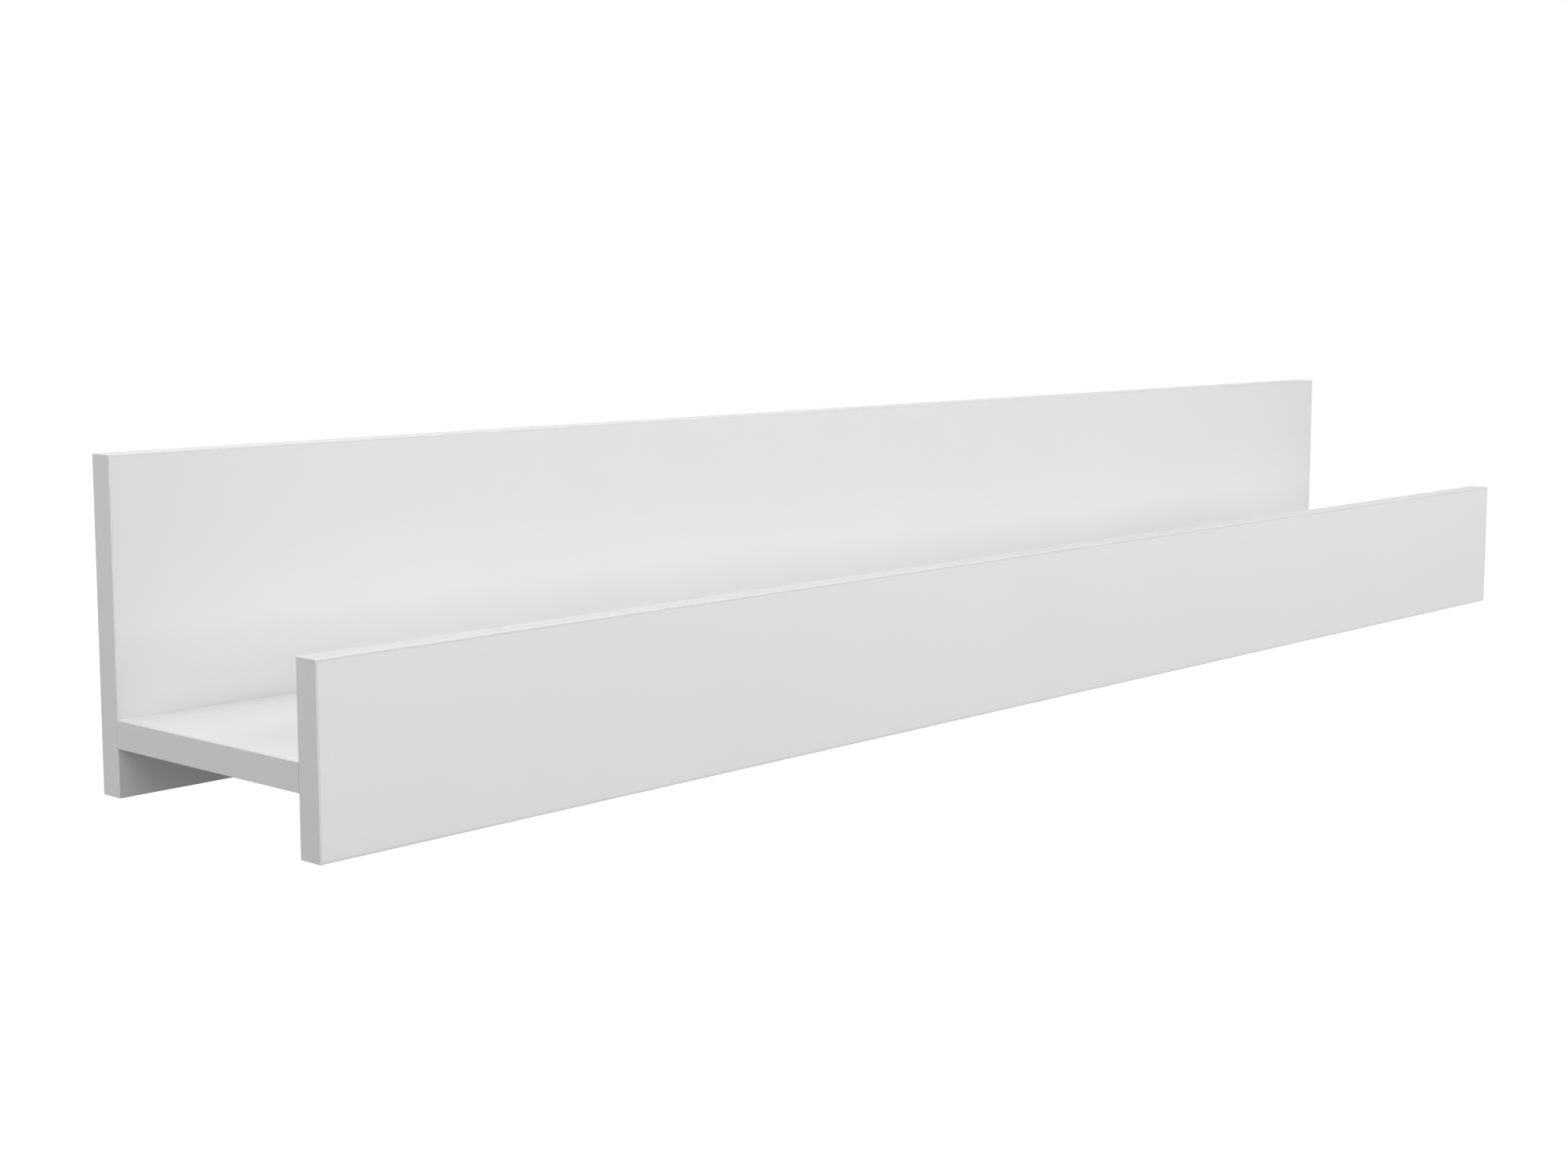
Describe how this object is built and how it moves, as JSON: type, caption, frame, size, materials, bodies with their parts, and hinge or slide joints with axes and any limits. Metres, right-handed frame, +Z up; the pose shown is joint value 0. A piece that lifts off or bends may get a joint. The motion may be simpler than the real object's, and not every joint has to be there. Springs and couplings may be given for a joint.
{
  "type": "floating wall shelf",
  "caption": "Long white wall shelf with an H-shaped section: a tall back panel, a shelf board and a lower front lip, hung on hidden keyhole plates.",
  "frame": {"origin": "middle of the back panel's rear face, which lies on the wall", "axes": "+X along the shelf to the right as seen from the room, +Y into the wall, +Z up"},
  "size_m": [1.2, 0.182, 0.181],
  "materials": {
    "white_melamine": "white satin melamine on chipboard",
    "white_edge_band": "white satin edge band",
    "white_cap_plastic": "white satin moulded plastic",
    "beech": "fluted raw beech",
    "plated_bolt_steel": "bright zinc plate",
    "die_cast_zinc": "matt die-cast zinc alloy",
    "galvanised_steel": "galvanised sheet",
    "plated_screw_steel": "bright zinc plate"
  },
  "bodies": {
    "root": {"back_panel": "white_melamine", "shelf_board": "white_melamine", "front_lip": "white_melamine", "back_panel_edge_top": "white_edge_band", "back_panel_edge_bottom": "white_edge_band", "back_panel_edge_left": "white_edge_band", "back_panel_edge_right": "white_edge_band", "front_lip_edge_top": "white_edge_band", "front_lip_edge_bottom": "white_edge_band", "front_lip_edge_left": "white_edge_band", "front_lip_edge_right": "white_edge_band", "shelf_board_edge_left": "white_edge_band", "shelf_board_edge_right": "white_edge_band", "back_dowels": "beech", "back_cam_bolts": "plated_bolt_steel", "back_cams": "die_cast_zinc", "back_cam_caps": "white_cap_plastic", "front_dowels": "beech", "front_cam_bolts": "plated_bolt_steel", "front_cams": "die_cast_zinc", "front_cam_caps": "white_cap_plastic", "hanger_plates": "galvanised_steel", "hanger_screws": "plated_screw_steel"}
  },
  "joints": []
}
